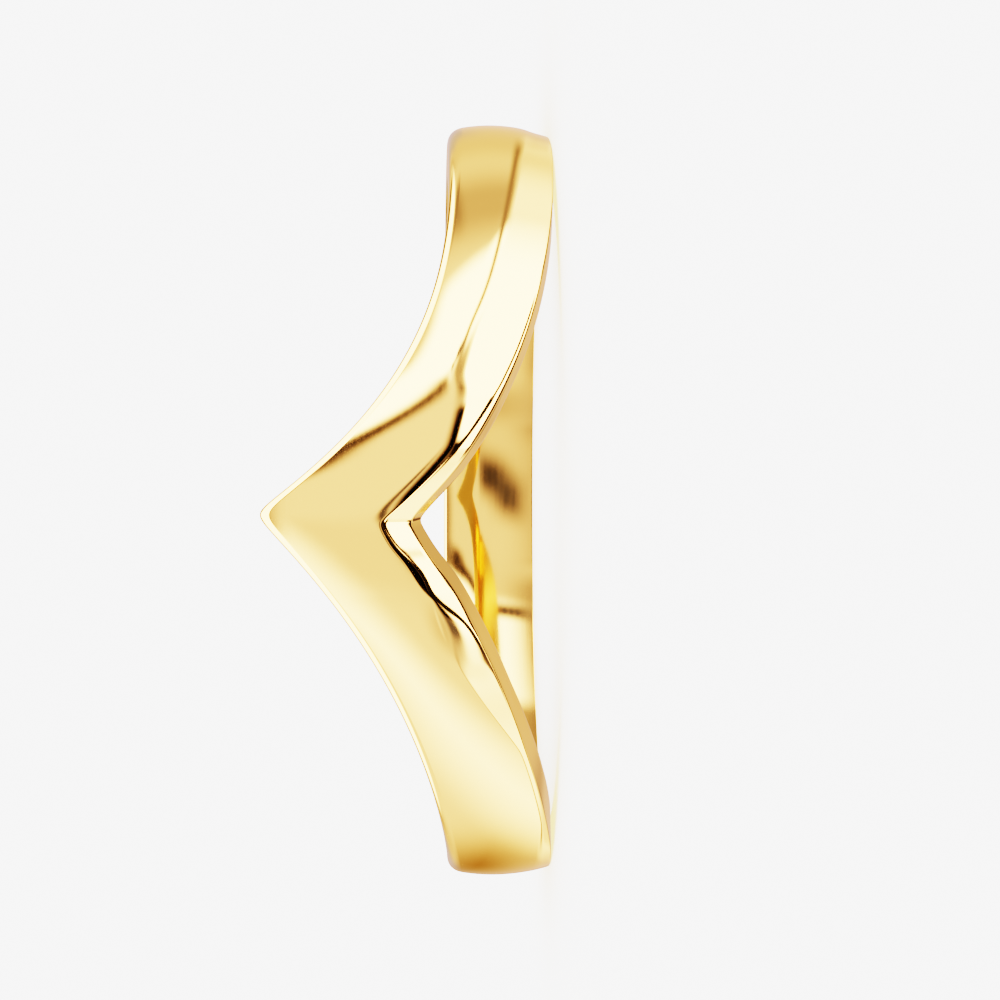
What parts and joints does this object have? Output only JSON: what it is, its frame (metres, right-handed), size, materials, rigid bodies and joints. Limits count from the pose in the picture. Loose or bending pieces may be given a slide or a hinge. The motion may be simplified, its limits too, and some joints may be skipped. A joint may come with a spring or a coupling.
{
  "type": "chevron ring",
  "caption": "Plain polished gold finger ring whose front sweeps up into a V point, with a ridge and facets below it.",
  "frame": {"origin": "on the finger axis, at the flat lower side of the plain band that the ring lies on", "axes": "+Z along the finger axis, towards the point of the V; the V faces -Y; +X across the V"},
  "size_m": [0.0204, 0.0204, 0.0072],
  "materials": {
    "polished_gold": "mirror polished yellow gold"
  },
  "bodies": {
    "root": {"chevron_band": "polished_gold"}
  },
  "joints": []
}
